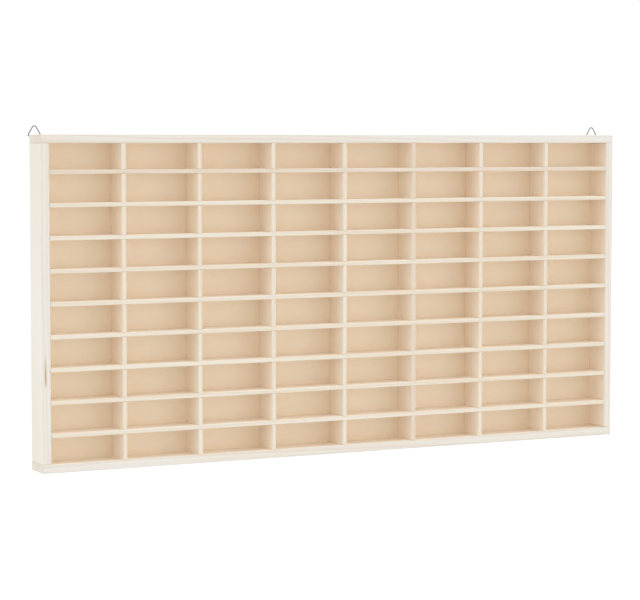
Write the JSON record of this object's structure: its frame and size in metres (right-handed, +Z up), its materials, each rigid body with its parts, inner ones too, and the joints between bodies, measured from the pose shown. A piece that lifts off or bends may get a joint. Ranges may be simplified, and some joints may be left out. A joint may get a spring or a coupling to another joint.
{
  "type": "wall-hung collector display case",
  "caption": "Shallow open-fronted pine wall case with an egg-crate of thin shelves and dividers, a tan back panel and triangular wire hanger rings at its top corners.",
  "frame": {"origin": "centre of the bottom face of the case", "axes": "+X to the right along the width, +Y from the open front to the wall, +Z up"},
  "size_m": [0.7882, 0.041, 0.4005],
  "materials": {
    "frame_pine": "sanded pale pine, unfinished",
    "slat_pine": "sanded pale pine, unfinished",
    "back_sheet": "smooth tan fibreboard",
    "strap_steel": "zinc plated",
    "ring_wire": "drawn and zinc plated wire",
    "nail_steel": "bright steel"
  },
  "bodies": {
    "case": {"top_board": "frame_pine", "bottom_board": "frame_pine", "left_side_board": "frame_pine", "right_side_board": "frame_pine", "back_panel": "back_sheet", "shelf_1": "slat_pine", "shelf_2": "slat_pine", "shelf_3": "slat_pine", "shelf_4": "slat_pine", "shelf_5": "slat_pine", "shelf_6": "slat_pine", "shelf_7": "slat_pine", "shelf_8": "slat_pine", "shelf_9": "slat_pine", "divider_1": "slat_pine", "divider_2": "slat_pine", "divider_3": "slat_pine", "divider_4": "slat_pine", "divider_5": "slat_pine", "divider_6": "slat_pine", "divider_7": "slat_pine", "frame_nails": "nail_steel", "panel_pins": "nail_steel", "left_hanger_strap": "strap_steel", "right_hanger_strap": "strap_steel", "hanger_screws": "strap_steel"},
    "left_ring": {"left_hanger_ring": "ring_wire"},
    "right_ring": {"right_hanger_ring": "ring_wire"}
  },
  "joints": [
    {"name": "left_ring_swing", "type": "hinge", "parent": "case", "child": "left_ring", "pos_m": [-0.386, 0.02048, 0.3882], "axis": [-1, 0, 0], "range_deg": [-18, 170]},
    {"name": "right_ring_swing", "type": "hinge", "parent": "case", "child": "right_ring", "pos_m": [0.386, 0.02048, 0.3882], "axis": [-1, 0, 0], "range_deg": [-18, 170]}
  ]
}
